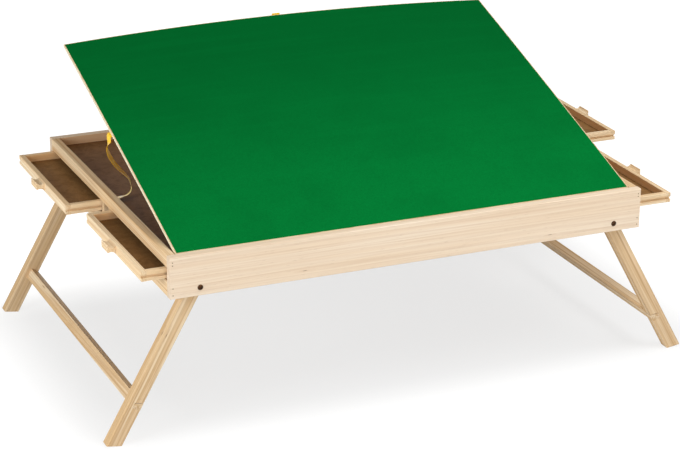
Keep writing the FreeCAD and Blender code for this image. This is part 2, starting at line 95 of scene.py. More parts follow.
class Wire:
    # one socket of a node tree; expressions on it add Math nodes
    def __init__(self, tree, socket=None):
        self.tree = tree
        self.socket = socket

    def node(self, kind, settings=None, inputs=None, output=0):
        made = self.tree.nodes.new(kind)
        for name, value in (settings or {}).items():
            setattr(made, name, value)
        for name, value in (inputs or {}).items():
            if isinstance(value, Wire):
                self.tree.links.new(value.socket, made.inputs[name])
            else:
                made.inputs[name].default_value = value
        return Wire(self.tree, made.outputs[output] if made.outputs else None)

    def maths(self, operation, *values):
        inputs = dict(enumerate(values))
        return self.node("ShaderNodeMath", {"operation": operation}, inputs)

    def __add__(self, other):
        return self.maths("ADD", self, other)

    def __sub__(self, other):
        return self.maths("SUBTRACT", self, other)

    def __rsub__(self, other):
        return self.maths("SUBTRACT", other, self)

    def __mul__(self, other):
        return self.maths("MULTIPLY", self, other)

    def __truediv__(self, other):
        return self.maths("DIVIDE", self, other)

    def __pow__(self, other):
        return self.maths("POWER", self, other)

    def other(self, name):
        # another output of the same node
        return Wire(self.tree, self.socket.node.outputs[name])

    def ease(self, low, high, start=0.0, end=1.0):
        # start below low, end above high, and smooth between them
        return self.node("ShaderNodeMapRange", {"interpolation_type": "SMOOTHSTEP"},
                         {"Value": self, "From Min": low, "From Max": high,
                          "To Min": start, "To Max": end})

    def split(self):
        # the three numbers of a vector
        parts = self.node("ShaderNodeSeparateXYZ", {}, {"Vector": self}, "X")
        return parts, parts.other("Y"), parts.other("Z")

    def vector(self, x=0.0, y=0.0, z=0.0):
        return self.node("ShaderNodeCombineXYZ", {}, {"X": x, "Y": y, "Z": z})

    def attribute(self, name, output="Fac"):
        # what a mesh holds under that name
        return self.node("ShaderNodeAttribute", {"attribute_name": name}, output=output)


def mixed(factor, first, second):
    # two colours mixed by a value; a Mix node's colour sockets are numbers 6 and 7
    return factor.node("ShaderNodeMix", {"data_type": "RGBA"},
                       {0: factor, 6: first, 7: second}, 2)


def layered(colour, *layers):
    # lays colours over one another, each by its own value
    for factor, over in layers:
        colour = mixed(factor, colour, linear(*over))
    return colour


def stretched(vector, along, across, through):
    # coordinates with another scale on each axis
    return vector.node("ShaderNodeVectorMath", {"operation": "MULTIPLY"},
                       {0: vector, 1: (along, across, through)})


def noise(vector, scale, detail=2.0, roughness=0.5, distortion=0.0):
    return vector.node("ShaderNodeTexNoise", {},
                       {"Vector": vector, "Scale": scale, "Detail": detail,
                        "Roughness": roughness, "Distortion": distortion})


def grainNoise(vector, repeats, detail=2.0, roughness=0.5):
    # noise that repeats so often per metre along the grain and across it
    along, across = repeats
    return noise(stretched(vector, along, across, across), 1.0, detail, roughness)


def startMaterial(name):
    material = bpy.data.materials.new(name)
    material.use_nodes = True
    tree = material.node_tree
    tree.nodes.clear()
    return material, Wire(tree)


def finishMaterial(material, start, look, colour, roughness, height, more=()):
    # a Principled shader with the look's constants on its own sockets
    normal = start.node("ShaderNodeBump", {}, {"Height": height, "Distance": look["relief"],
                                               "Strength": look["bump"]})
    shader = start.node("ShaderNodeBsdfPrincipled", {}, {
        "Base Color": colour, "Roughness": roughness, "Normal": normal,
        "Specular IOR Level": look["specular"], **dict(more)})
    shader.node("ShaderNodeOutputMaterial", {}, {"Surface": shader})
    return material


wood = {
    "ringSpacing": 3.6 * mm,
    "ringUnevenness": 1.3,
    "wobble": 5.0 * mm,
    "quiver": 0.9 * mm,
    "knotSwell": 5.0 * mm,
    "bends": (1.1, 13.0),
    "quivers": (5.0, 55.0),
    "drifts": (1.3, 9.0),
    "streaks": (1.3, 75.0),
    "lines": (2.4, 330.0),
    "fibres": (7.0, 900.0),
    "flecks": (45.0, 700.0),
    "knotEvery": (2.6, 3.2),
    "knotChosen": (0.55, 0.56),
    "knotSize": 0.012,
    "knotShare": 0.85,
    "knotColour": (112, 66, 34),
    "swirlShare": 0.35,
    "lateWood": (0.30, 0.90),
    "lateEnd": (0.92, 1.0),
    "streakEase": (0.36, 0.66),
    "lineEase": (0.44, 0.70),
    "driftEase": (0.35, 0.68, 0.0, 0.35),
    "fibreEase": (0.42, 0.75, 0.0, 0.20),
    "fleckEase": (0.10, 0.24, 1.0, 0.0),
    "fleckShare": 0.30,
    "fleckColour": (150, 104, 62),
    "endShade": 0.80,
    "roughness": 0.62,
    "specular": 0.06,
    "relief": 0.16 * mm,
    "bump": 0.55,
    # colour of the painted warm shade on a drawer's or the case's inward faces
    "inside": (242, 184, 120),
    "insideShare": 0.52,
}
woodTones = {
    "apron_pine": {"pale": (243, 227, 207), "ring": (214, 184, 154), "warm": (236, 213, 186),
                   "rings": 0.42, "streaks": 0.40, "lines": 0.34, "ends": 0.30},
    "rail_pine": {"pale": (244, 224, 190), "ring": (198, 155, 108), "warm": (223, 188, 142),
                  "rings": 0.60, "streaks": 0.75, "lines": 0.60, "ends": 0.30},
    "leg_pine": {"pale": (242, 223, 193), "ring": (188, 148, 104), "warm": (217, 184, 140),
                 "rings": 0.60, "streaks": 0.80, "lines": 0.65, "ends": 0.12},
    "drawer_pine": {"pale": (247, 228, 197), "ring": (210, 170, 124), "warm": (232, 201, 158),
                    "rings": 0.50, "streaks": 0.50, "lines": 0.40, "ends": 0.14},
    "inner_pine": {"pale": (228, 204, 170), "ring": (190, 151, 108), "warm": (210, 178, 136),
                   "rings": 0.55, "streaks": 0.55, "lines": 0.40, "ends": 0.30},
}


def woodMaterial(name, tone):
    # sawn from a round log: rings about the log's heart, which each board's grain
    # coordinates are measured from, along, across and through the log
    material, start = startMaterial(name)
    grain = start.attribute("grain", "Vector")
    along, across, through = grain.split()
    slow = grainNoise(grain, wood["bends"]) - 0.5
    fine = grainNoise(grain, wood["quivers"]) - 0.5
    heart = (across * across + through * through) ** 0.5
    turn = start.maths("ARCTAN2", through, across)
    often, apart = wood["knotEvery"]
    knots = start.node("ShaderNodeTexVoronoi", {"voronoi_dimensions": "2D"},
                       {"Vector": start.vector(along * often, turn * apart), "Scale": 1.0},
                       "Distance")
    chosen = start.node("ShaderNodeSeparateColor", {}, {"Color": knots.other("Color")}, "Red")
    chosen = chosen.ease(*wood["knotChosen"], 1.0, 0.0)
    knot = knots.ease(wood["knotSize"] * 0.6, wood["knotSize"], 1.0, 0.0) * chosen
    swirl = knots.ease(wood["knotSize"], wood["knotSize"] * 5.0, 1.0, 0.0) * chosen
    radius = heart + slow * wood["wobble"] * 2.0 + fine * wood["quiver"]
    count = (radius + swirl * wood["knotSwell"]) / wood["ringSpacing"]
    uneven = start.node("ShaderNodeTexNoise", {"noise_dimensions": "1D"},
                        {"W": count * 0.4, "Scale": 1.0, "Detail": 2.0})
    count = count + uneven * wood["ringUnevenness"]
    phase = start.maths("FRACT", count)
    late = phase.ease(*wood["lateWood"]) * phase.ease(*wood["lateEnd"], 1.0, 0.0)
    year = start.node("ShaderNodeTexWhiteNoise", {"noise_dimensions": "1D"},
                      {"W": start.maths("FLOOR", count)})
    late = late * (year * 0.7 + 0.3)
    fibre = grainNoise(grain, wood["fibres"], 3.0, 0.6)
    line = grainNoise(grain, wood["lines"], 2.0, 0.55)
    streak = grainNoise(grain, wood["streaks"], 3.0, 0.55)
    drift = grainNoise(grain, wood["drifts"])
    often, apart = wood["flecks"]
    fleck = start.node("ShaderNodeTexVoronoi", {"feature": "F1"},
                       {"Vector": stretched(grain, often, apart, apart), "Scale": 1.0},
                       "Distance")
    fleck = fleck.ease(*wood["fleckEase"]) * fibre.ease(0.45, 0.62)
    endGrain = start.attribute("endGrain")
    colour = layered(
        linear(*tone["pale"]),
        (streak.ease(*wood["streakEase"], 0.0, tone["streaks"] + 0.25), tone["warm"]),
        (late * tone["rings"], tone["ring"]),
        (drift.ease(*wood["driftEase"]), tone["warm"]),
        (line.ease(*wood["lineEase"], 0.0, tone["lines"]), tone["ring"]),
        (fibre.ease(*wood["fibreEase"]), tone["ring"]),
        (fleck * wood["fleckShare"], wood["fleckColour"]),
        (swirl * wood["swirlShare"], tone["ring"]),
        (knot * wood["knotShare"], wood["knotColour"]),
        (endGrain * tone["ends"], [value * wood["endShade"] for value in tone["ring"]]),
        # rounded edges painted paler: partly fresh sanded wood, partly a painted highlight
        # where they catch the light
        (start.attribute("rounded") * fine.ease(-0.25, 0.25, 0.15, 0.5), tone["pale"]),
        # inward faces painted warmer: a painted shade standing in for light bounced off the
        # brown hardboard
        (start.attribute("inside") * wood["insideShare"], wood["inside"]))
    height = fibre * 0.75 + late * 0.5 - fleck * 0.4 + streak * 0.35 - knot * 0.5
    rough = fibre * 0.12 + endGrain * 0.12 + wood["roughness"] - late * 0.06
    return finishMaterial(material, start, wood, colour, rough, height)


hardboard = {"fibreScale": 420.0, "clumpScale": 60.0, "blotchScale": 7.0, "relief": 0.04 * mm,
             "fibreEase": (0.45, 0.72, 0.0, 0.75), "clumpEase": (0.42, 0.68, 0.0, 0.55),
             "blotchEase": (0.35, 0.7, 0.0, 0.40), "speckEase": (0.66, 0.74, 0.0, 0.6),
             "speck": (70, 46, 28), "roughness": 0.46, "specular": 0.05, "bump": 0.5}
hardboardTones = {
    # the tray's board is painted darker than the drawers': painted shade for the raised lid
    # over the tray
    "tray_hardboard": {"base": (128, 92, 58), "dark": (98, 68, 41), "light": (145, 106, 69)},
    "drawer_hardboard": {"base": (144, 108, 67), "dark": (115, 83, 48),
                         "light": (162, 124, 79)},
}


def hardboardMaterial(name, tone):
    # pressed wood fibre: a smooth brown face with short fibres and cloudy blotches
    material, start = startMaterial(name)
    place = start.node("ShaderNodeTexCoord", output="Object")
    clump = noise(place, hardboard["clumpScale"], 4.0, 0.65, 0.6)
    blotch = noise(place, hardboard["blotchScale"], 3.0, 0.55)
    one = noise(stretched(place, 1.0, 0.22, 1.0), hardboard["fibreScale"], 3.0, 0.7, 1.2)
    two = noise(stretched(place, 0.22, 1.0, 1.0), hardboard["fibreScale"], 3.0, 0.7, 1.2)
    fibre = start.maths("MAXIMUM", one, two)
    speck = noise(place, hardboard["fibreScale"] * 2.2, 1.0)
    colour = layered(linear(*tone["base"]),
                     (fibre.ease(*hardboard["fibreEase"]), tone["light"]),
                     (clump.ease(*hardboard["clumpEase"]), tone["dark"]),
                     (blotch.ease(*hardboard["blotchEase"]), tone["dark"]),
                     (speck.ease(*hardboard["speckEase"]), hardboard["speck"]))
    rough = clump * 0.18 + hardboard["roughness"]
    return finishMaterial(material, start, hardboard, colour, rough, fibre * 0.6 + clump * 0.3)


plywood = {"plies": 3, "thickness": 4.4 * mm, "figureScale": 2.2, "relief": 0.12 * mm,
           "contours": 17.0, "fibres": (9.0, 800.0), "streaks": (2.0, 70.0),
           "face": (238, 218, 184), "streak": (226, 196, 152), "ring": (196, 152, 104),
           "fibre": (186, 142, 96), "edge": (238, 227, 198), "core": (216, 196, 156),
           "seam": (168, 136, 92), "streakEase": (0.35, 0.68, 0.0, 0.6),
           "fibreEase": (0.45, 0.75, 0.0, 0.25), "ringShare": 0.42, "seamShare": 0.40,
           "roughness": 0.55, "specular": 0.32, "bump": 0.55}


def plywoodMaterial(name):
    # peeled veneer on the faces, three plies in the edges
    material, start = startMaterial(name)
    grain = start.attribute("grain", "Vector")
    height = grain.split()[2] / plywood["thickness"]
    contour = noise(stretched(grain, 0.7, 3.4, 3.4), plywood["figureScale"], 3.0, 0.5, 0.4)
    phase = start.maths("FRACT", contour * plywood["contours"])
    ring = phase.ease(0.25, 0.85) * phase.ease(0.88, 1.0, 1.0, 0.0)
    fibre = grainNoise(grain, plywood["fibres"], 3.0, 0.6)
    streak = grainNoise(grain, plywood["streaks"])
    colour = layered(linear(*plywood["face"]),
                     (streak.ease(*plywood["streakEase"]), plywood["streak"]),
                     (ring * plywood["ringShare"], plywood["ring"]),
                     (fibre.ease(*plywood["fibreEase"]), plywood["fibre"]))
    ply = start.maths("PINGPONG", height * plywood["plies"] + 0.5, 1.0)
    seam = ply.ease(0.0, 0.10, 1.0, 0.0)
    middle = start.maths("ABSOLUTE", height).ease(0.14, 0.19, 1.0, 0.0)
    core = noise(stretched(grain, 420.0, 420.0, 60.0), 1.0, 2.0)
    edgeColour = layered(linear(*plywood["edge"]),
                         (middle * core.ease(0.3, 0.7, 0.25, 0.75), plywood["core"]),
                         (seam * plywood["seamShare"], plywood["seam"]))
    edge = start.attribute("edge")
    return finishMaterial(material, start, plywood, mixed(edge, colour, edgeColour),
                          fibre * 0.12 + plywood["roughness"],
                          fibre * 0.8 + ring * 0.4 - seam * edge * 0.8)


feltLook = {"rear": (0, 97, 40), "front": (2, 121, 52), "dark": (0, 92, 37),
            "light": (3, 124, 55), "wear": (-0.30, 0.26), "pileScale": 1500.0,
            "tuftScale": 260.0, "cloudScale": 9.0, "strokes": (3.0, 60.0),
            "tuftEase": (0.36, 0.66, 0.0, 0.40), "pileEase": (0.50, 0.78, 0.0, 0.60),
            "cloudEase": (0.40, 0.70, 0.0, 0.22), "strokeEase": (0.45, 0.72, 0.0, 0.10),
            "relief": 0.30 * mm, "bump": 0.6, "roughness": 0.88, "specular": 0.02,
            "sheen": 0.04, "sheenRoughness": 0.45, "sheenTint": (0, 150, 70)}


def feltMaterial(name):
    # short dense pile: crossing fibres, small tufts, a faint cloudiness, and a front painted
    # paler than the rear, a painted falloff of the lamps' light from the front
    material, start = startMaterial(name)
    place = start.node("ShaderNodeTexCoord", output="Object")
    forward = start.attribute("grain", "Vector").split()[1]
    pile = noise(place, feltLook["pileScale"], 3.0, 0.7, 0.8)
    tuft = noise(place, feltLook["tuftScale"], 3.0, 0.65, 1.5)
    cloud = noise(place, feltLook["cloudScale"], 3.0, 0.55, 0.3)
    brushed = grainNoise(place, feltLook["strokes"], 3.0, 0.6)
    colour = layered(linear(*feltLook["rear"]),
                     # front painted paler than rear: a painted falloff of the light, brighter
                     # towards the front lamps
                     (forward.ease(*feltLook["wear"], 1.0, 0.0), feltLook["front"]),
                     (tuft.ease(*feltLook["tuftEase"]), feltLook["dark"]),
                     (pile.ease(*feltLook["pileEase"]), feltLook["light"]),
                     (cloud.ease(*feltLook["cloudEase"]), feltLook["dark"]),
                     (brushed.ease(*feltLook["strokeEase"]), feltLook["light"]))
    rough = pile * 0.1 + feltLook["roughness"]
    return finishMaterial(material, start, feltLook, colour, rough, pile * 0.6 + tuft, {
        "Sheen Weight": feltLook["sheen"], "Sheen Roughness": feltLook["sheenRoughness"],
        "Sheen Tint": linear(*feltLook["sheenTint"])})


ribbonLook = {"base": (255, 206, 26), "deep": (232, 166, 6), "light": (255, 232, 112),
              "rubbed": (255, 240, 172), "rubbedFrom": (96.0 * mm, 112.0 * mm),
              "rubbedShare": 0.75, "selvedge": (5.9 * mm, 6.6 * mm),
              "threadsPerMetre": 2600.0, "relief": 0.05 * mm, "roughness": 0.30,
              "specular": 0.25, "bump": 0.6, "glossEase": (0.38, 0.68, 0.0, 0.5),
              "creaseEase": (0.5, 0.75, 0.0, 0.35), "selvedgeShare": 0.45}


def ribbonMaterial(name):
    # woven satin: long floats along the ribbon, a ribbed selvedge at its edges
    material, start = startMaterial(name)
    weave = start.attribute("weave", "Vector")
    along, across = weave.split()[:2]
    thread = start.maths("SINE", across * (ribbonLook["threadsPerMetre"] * 2 * math.pi))
    pick = start.maths("SINE", along * (ribbonLook["threadsPerMetre"] * 1.1 * math.pi))
    selvedge = start.maths("ABSOLUTE", across).ease(*ribbonLook["selvedge"])
    gloss = noise(stretched(weave, 30.0, 2200.0, 1.0), 1.0, 2.0)
    creases = noise(stretched(weave, 90.0, 25.0, 1.0), 1.0, 2.0)
    # the lower end, where the ribbon lies face up in the light, is painted paler: a painted
    # highlight
    rubbed = along.ease(*ribbonLook["rubbedFrom"], 0.0, ribbonLook["rubbedShare"])
    colour = layered(linear(*ribbonLook["base"]),
                     (gloss.ease(*ribbonLook["glossEase"]), ribbonLook["deep"]),
                     (creases.ease(*ribbonLook["creaseEase"]), ribbonLook["light"]),
                     (selvedge * ribbonLook["selvedgeShare"], ribbonLook["deep"]),
                     (rubbed, ribbonLook["rubbed"]))
    return finishMaterial(material, start, ribbonLook, colour,
                          gloss * 0.15 + ribbonLook["roughness"],
                          thread * 0.35 + pick * selvedge * 0.8 + creases * 0.4)


metals = {
    "hinge_brass": {"clean": (214, 178, 104), "dull": (158, 118, 58), "metallic": 1.0,
                    "roughness": 0.30, "grainScale": 900.0, "spots": 0.35},
    "prop_steel": {"clean": (196, 197, 198), "dull": (138, 136, 132), "metallic": 1.0,
                   "roughness": 0.28, "grainScale": 1400.0, "spots": 0.25},
    # the screws' blotches, near black, are painted shade across their domed heads as well as
    # handling scuffs
    "bronzed_screw": {"clean": (78, 54, 36), "dull": (20, 13, 9), "metallic": 0.85,
                      "roughness": 0.34, "grainScale": 1600.0, "spots": 0.50},
    "nail_steel": {"clean": (168, 146, 118), "dull": (120, 98, 74), "metallic": 0.8,
                   "roughness": 0.50, "grainScale": 2400.0, "spots": 0.55},
}


metalWearAndShade = {"markScale": 130.0, "markEase": (0.42, 0.68), "spotEase": (0.55, 0.75),
             "relief": 0.03 * mm, "bump": 0.5, "specular": 0.5}


def metalMaterial(name, look):
    # drawn or plated metal: fine scratches, handling marks and matt dark spots; on the bronzed
    # screws the dark blotches are painted shade as well
    material, start = startMaterial(name)
    place = start.node("ShaderNodeTexCoord", output="Object")
    scratch = noise(stretched(place, 0.06, 1.0, 1.0), look["grainScale"] * 3, 3.0, 0.7)
    markAndShade = noise(place, metalWearAndShade["markScale"], 4.0, 0.6, 0.5)
    spot = noise(place, look["grainScale"], 2.0, 0.6)
    wornAndShaded = (markAndShade.ease(*metalWearAndShade["markEase"]) * 0.6
            + spot.ease(*metalWearAndShade["spotEase"]) * 0.4)
    colour = layered(linear(*look["clean"]), (wornAndShaded * look["spots"] * 2.0, look["dull"]))
    rough = wornAndShaded * 0.22 + scratch * 0.12 + (look["roughness"] - 0.06)
    metallic = 1.0 - wornAndShaded * (1.0 - look["metallic"]) * 2.0
    return finishMaterial(material, start, metalWearAndShade, colour, rough,
                          scratch * 0.5 + spot * 0.5, {"Metallic": metallic})


materials = {name: woodMaterial(name, tone) for name, tone in woodTones.items()}
for name, tone in hardboardTones.items():
    materials[name] = hardboardMaterial(name, tone)
for name, look in metals.items():
    materials[name] = metalMaterial(name, look)
materials["lid_plywood"] = plywoodMaterial("lid_plywood")
materials["green_felt"] = feltMaterial("green_felt")
materials["yellow_ribbon"] = ribbonMaterial("yellow_ribbon")
print("materials made:", len(materials))


board = {
    "weld": 0.001 * mm,
    "flat": math.radians(1.0),
    "sharp": math.radians(60.0),
    "crease": math.radians(35.0),
    "shortest": 4.0 * mm,
    "bevel": 0.45 * mm,
    "segments": 2,
    "heartAcross": (-60.0 * mm, 60.0 * mm),
    "heartThrough": (35.0 * mm, 110.0 * mm),
    "heartAlong": (-5.0, 5.0),
    "slope": 0.012,
    "profile": 0.5,
    "parallel": 0.999,
    "square": 0.05,
    "endFacing": 0.8,
    "upright": 0.5,
}


def welded(data):
    # a mesh to edit, with the points that lie together made one
    mesh = bmesh.new()
    mesh.from_mesh(data)
    bmesh.ops.remove_doubles(mesh, verts=mesh.verts, dist=board["weld"])
    return mesh


def bevelled(mesh, edges, offset):
    # rounds the edges and returns the new faces
    return bmesh.ops.bevel(mesh, geom=edges, offset=offset, offset_type="OFFSET",
                           segments=board["segments"], profile=board["profile"],
                           affect="EDGES", clamp_overlap=True)["faces"]


def islands(mesh):
    # the loose pieces of a mesh, in the order of their first points
    mesh.verts.index_update()
    seen = set()
    for first in mesh.verts:
        if first.index in seen:
            continue
        found, waiting = [], [first]
        seen.add(first.index)
        while waiting:
            point = waiting.pop()
            found.append(point)
            for edge in point.link_edges:
                other = edge.other_vert(point)
                if other.index not in seen:
                    seen.add(other.index)
                    waiting.append(other)
        yield found


def heaviest(pairs):
    # the direction that carries the most weight, either way round
    sums = []
    for direction, weight in pairs:
        for entry in sums:
            if abs(entry[0].dot(direction)) > board["parallel"]:
                entry[1] += weight
                break
        else:
            sums.append([direction.copy(), weight])
    return max(sums, key=lambda entry: entry[1])[0]


def upwards(direction):
    # the same line, pointing to the side of its largest number
    largest = max(direction, key=abs)
    return direction if largest > 0 else -direction


drawer = {"sideThickness": 9.0 * mm, "near": 0.05 * mm}


def splitBack(mesh, node):
    # a drawer's back board touches its sides, so its faces are freed from theirs
    low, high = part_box(node)
    middle = (low.y + high.y) / 2
    half = (high.y - low.y) / 2 - drawer["sideThickness"]
    near = drawer["near"]
    back = []
    for face in mesh.faces:
        reach = [abs(point.co.y - middle) for point in face.verts]
        onSide = min(reach) > half - near
        inward = face.normal.y * (face.calc_center_median().y - middle) < 0
        if max(reach) < half + near and not (onSide and inward):
            back.append(face)
    bmesh.ops.split(mesh, geom=back)


def storeGrain(mesh, seed):
    # each board comes from its own place in its own log
    draw = random.Random(seed)
    grain = mesh.verts.layers.float_vector.new("grain")
    endGrain = mesh.faces.layers.float.new("endGrain")
    for island in islands(mesh):
        faces = {face.index: face for point in island for face in point.link_faces}
        edges = {edge.index: edge for point in island for edge in point.link_edges}
        through = upwards(heaviest([(f.normal, f.calc_area()) for f in faces.values()]))
        lines = [((e.verts[1].co - e.verts[0].co).normalized(), e.calc_length())
                 for e in edges.values() if e.calc_length() > board["weld"]]
        along = upwards(heaviest([(line, weight) for line, weight in lines
                                  if abs(line.dot(through)) < board["square"]]))
        across = through.cross(along)
        centre = sum((point.co for point in island), Vector()) / len(island)
        heart = Vector((draw.uniform(*board["heartAlong"]),
                        draw.uniform(*board["heartAcross"]),
                        draw.choice((-1, 1)) * draw.uniform(*board["heartThrough"])))
        lean = [draw.uniform(-board["slope"], board["slope"]) for axis in range(2)]
        for point in island:
            away = point.co - centre
            x = away.dot(along)
            point[grain] = heart + Vector((x, away.dot(across) + x * lean[0],
                                           away.dot(through) + x * lean[1]))
        for face in faces.values():
            face[endGrain] = float(abs(face.normal.dot(along)) > board["endFacing"])


def pieceName(node):
    first, *rest = node.split("_")
    return first + "".join(word.capitalize() for word in rest)


def applied(draft, node):
    # the draft's mesh with its modifiers worked out, in the node's own material
    graph = bpy.context.evaluated_depsgraph_get()
    data = bpy.data.meshes.new_from_object(draft.evaluated_get(graph))
    bpy.data.objects.remove(draft)
    data.name = pieceName(node)
    data.materials.clear()
    data.materials.append(materials[slotOf[node]])
    return data


def solidFrom(mesh, node):
    # a finished piece from a bmesh, with smooth curves and true flats
    name = pieceName(node)
    data = bpy.data.meshes.new(name)
    mesh.to_mesh(data)
    mesh.free()
    data.shade_smooth()
    data.set_sharp_from_angle(angle=board["crease"])
    draft = added(name, data)
    weighted = draft.modifiers.new("flats", "WEIGHTED_NORMAL")
    weighted.keep_sharp = True
    return added(name, applied(draft, node))


def finishPiece(piece, node):
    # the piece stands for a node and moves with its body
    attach(piece, nodes[node]["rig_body"])
    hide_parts(node)
    return piece


def roundEdges(mesh, bevel):
    # breaks the sharp outer edges of a board, as sanding does
    sharp = [edge for edge in mesh.edges
             if len(edge.link_faces) == 2 and edge.calc_length() > board["shortest"]
             and edge.is_convex and edge.calc_face_angle() > board["sharp"]]
    rounded = mesh.faces.layers.float.new("rounded")
    for face in bevelled(mesh, sharp, bevel):
        face[rounded] = 1.0


def storePaintedInsideShade(mesh, node):
    # marks the faces of a drawer or of the case that look inwards, for a painted warm shade
    hollow = node.rsplit("_", 1)[0] + "_floor" if "_drawer_" in node else "tray_floor"
    low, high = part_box(hollow)
    middle = (low + high) / 2
    inside = mesh.faces.layers.float.new("inside")
    for face in mesh.faces:
        upright = abs(face.normal.z) < board["upright"]
        towards = face.normal.dot(middle - face.calc_center_median()) > 0
        top = max(point.co.z for point in face.verts)
        face[inside] = float(upright and towards and top > low.z)


def dressBoard(node):
    # a wooden node with broken edges and its own grain
    mesh = welded(nodes[node].data)
    if node.endswith("_drawer_frame"):
        splitBack(mesh, node)
    bmesh.ops.dissolve_limit(mesh, angle_limit=board["flat"], verts=mesh.verts,
                             edges=mesh.edges)
    roundEdges(mesh, board["bevel"])
    if "_drawer_" in node or node.endswith(("_apron", "_top_rail")):
        storePaintedInsideShade(mesh, node)
    mesh.faces.index_update()
    mesh.edges.index_update()
    mesh.normal_update()
    storeGrain(mesh, node)
    return finishPiece(solidFrom(mesh, node), node)


boardSlots = tuple(woodTones) + tuple(hardboardTones)
for node in sorted(nodes):
    if slotOf[node] in boardSlots:
        dressBoard(node)
print("boards dressed")


def startTree(name, inputs):
    # a Geometry Nodes tree with an input of each named kind; returns a wire for each too
    tree = bpy.data.node_groups.new(name, "GeometryNodeTree")
    for label, kind in {"Geometry": "Geometry", **inputs, "Material": "Material"}.items():
        tree.interface.new_socket(label, in_out="INPUT", socket_type="NodeSocket" + kind)
    tree.interface.new_socket("Geometry", in_out="OUTPUT", socket_type="NodeSocketGeometry")
    inlet = tree.nodes.new("NodeGroupInput")
    return tree, {socket.name: Wire(tree, socket) for socket in inlet.outputs if socket.name}


def endTree(wires, geometry):
    real = geometry.node("GeometryNodeRealizeInstances", {}, {"Geometry": geometry})
    painted = real.node("GeometryNodeSetMaterial", {},
                        {"Geometry": real, "Material": wires["Material"]})
    painted.node("NodeGroupOutput", {}, {"Geometry": painted})


def moved(geometry, **inputs):
    return geometry.node("GeometryNodeTransform", {}, {"Geometry": geometry, **inputs})


def stored(geometry, name, value):
    # keeps a vector on each point under that name
    return geometry.node("GeometryNodeStoreNamedAttribute",
                         {"data_type": "FLOAT_VECTOR", "domain": "POINT"},
                         {"Geometry": geometry, "Name": name, "Value": value})


def given(start, name):
    # the vector that the tree's own points hold under that name
    return start.node("GeometryNodeInputNamedAttribute", {"data_type": "FLOAT_VECTOR"},
                      {"Name": name})


def grown(tree, node, data, values):
    # runs a tree on some points and returns the plain mesh that it makes
    draft = added(pieceName(node), data)
    modifier = draft.modifiers.new("tree", "NODES")
    modifier.node_group = tree
    values = dict(values, Material=materials[slotOf[node]])
    for item in tree.interface.items_tree:
        if item.in_out == "INPUT" and item.name in values:
            modifier[item.identifier] = values[item.name]
    return applied(draft, node)


def pointMesh(node, label, spots, edges=()):
    # a mesh of bare points, each with a direction stored under the label
    data = bpy.data.meshes.new(pieceName(node))
    data.from_pydata([spot for spot, direction in spots], edges, [])
    layer = data.attributes.new(label, "FLOAT_VECTOR", "POINT")
    for index, (spot, direction) in enumerate(spots):
        layer.data[index].vector = direction
    return data


# The board has cupped since it was made: towards its rear edge the middle stands proud
# of its mean plane and the corners fall below it.
lid = {
    "tilt": math.radians(18.7),
    "crown": 15.0 * mm,
    "columns": 97,
    "rows": 73,
    "edgeRound": 0.35 * mm,
    "feltRound": 0.25 * mm,
}
lidJoint = next(joint for joint in frame["joints"] if joint["child"] == "lid")
hinge = Vector(lidJoint["pos_m"])
toRest = (Matrix.Translation(hinge) @ Matrix.Rotation(lid["tilt"], 4, "X")
          @ Matrix.Translation(-hinge))
toClosed = toRest.inverted()


def closedBox(node):
    # a lid node's lowest and highest corner with the lid shut
    points = [toClosed @ point.co for point in nodes[node].data.vertices]
    return [Vector([pick(point[axis] for point in points) for axis in range(3)])
            for pick in (min, max)]


boardLow, boardHigh = closedBox("lid_board")
lid["half"] = (boardHigh.x - boardLow.x) / 2
lid["middle"] = (boardHigh.x + boardLow.x) / 2
lid["reach"] = boardHigh.y - hinge.y


def lift(x, y):
    # how far the cupped board stands above its mean plane, with the lid shut
    side = (x - lid["middle"]) / lid["half"]
    return lid["crown"] * (0.5 - side * side) * ((y - hinge.y) / lid["reach"]) ** 2


def cuppedTree():
    # a box of the sheet's size, bent by the rule of lift, then tilted on the hinge
    tree, wires = startTree("cuppedSheet", {
        "Size": "Vector", "Centre": "Vector", "Hinge": "Vector", "Columns": "Int",
        "Rows": "Int", "Crown": "Float", "Half": "Float", "Reach": "Float", "Tilt": "Float"})
    start = wires["Geometry"]
    sheet = start.node("GeometryNodeMeshCube", {}, {
        "Size": wires["Size"], "Vertices X": wires["Columns"], "Vertices Y": wires["Rows"],
        "Vertices Z": 2})
    position = start.node("GeometryNodeInputPosition")
    sheet = moved(stored(sheet, "grain", position), Translation=wires["Centre"])
    fromHinge = start.node("ShaderNodeVectorMath", {"operation": "SUBTRACT"},
                           {0: position, 1: wires["Hinge"]})
    aside, forward = fromHinge.split()[:2]
    side = aside / wires["Half"]
    reach = forward / wires["Reach"]
    rise = wires["Crown"] * (0.5 - side * side) * (reach * reach)
    sheet = start.node("GeometryNodeSetPosition", {},
                       {"Geometry": sheet, "Offset": start.vector(z=rise)})
    back = start.node("ShaderNodeVectorMath", {"operation": "SCALE"},
                      {0: wires["Hinge"], "Scale": -1.0})
    sheet = moved(moved(sheet, Translation=back), Rotation=start.vector(wires["Tilt"]),
                  Translation=wires["Hinge"])
    endTree(wires, sheet)
    return tree


cupped = cuppedTree()


